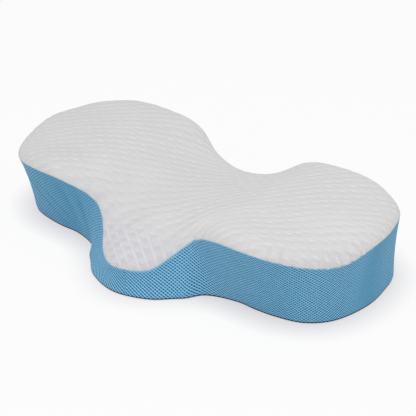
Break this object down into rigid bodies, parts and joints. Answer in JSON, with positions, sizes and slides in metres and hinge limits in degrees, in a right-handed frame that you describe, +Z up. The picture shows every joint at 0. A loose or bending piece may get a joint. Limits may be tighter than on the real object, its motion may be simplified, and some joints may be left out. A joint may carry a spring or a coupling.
{
  "type": "cervical pillow",
  "caption": "Butterfly-shaped contour pillow: a low neck lobe, a head hollow between two raised wings, a white knitted top and a blue mesh side band.",
  "frame": {"origin": "on the floor, at the middle of the pillow's length and width", "axes": "+X along the pillow from wing to wing, -Y towards the neck lobe, +Z up"},
  "size_m": [0.6, 0.322, 0.1277],
  "materials": {
    "base_cloth": "matt dark grey knitted polyester",
    "white_knit": "soft quilted-look knit with raised diamonds",
    "blue_mesh": "open spacer mesh with small diamond holes"
  },
  "bodies": {
    "root": {"pillow_body": "base_cloth", "top_panel": "white_knit", "side_band": "blue_mesh"}
  },
  "joints": []
}
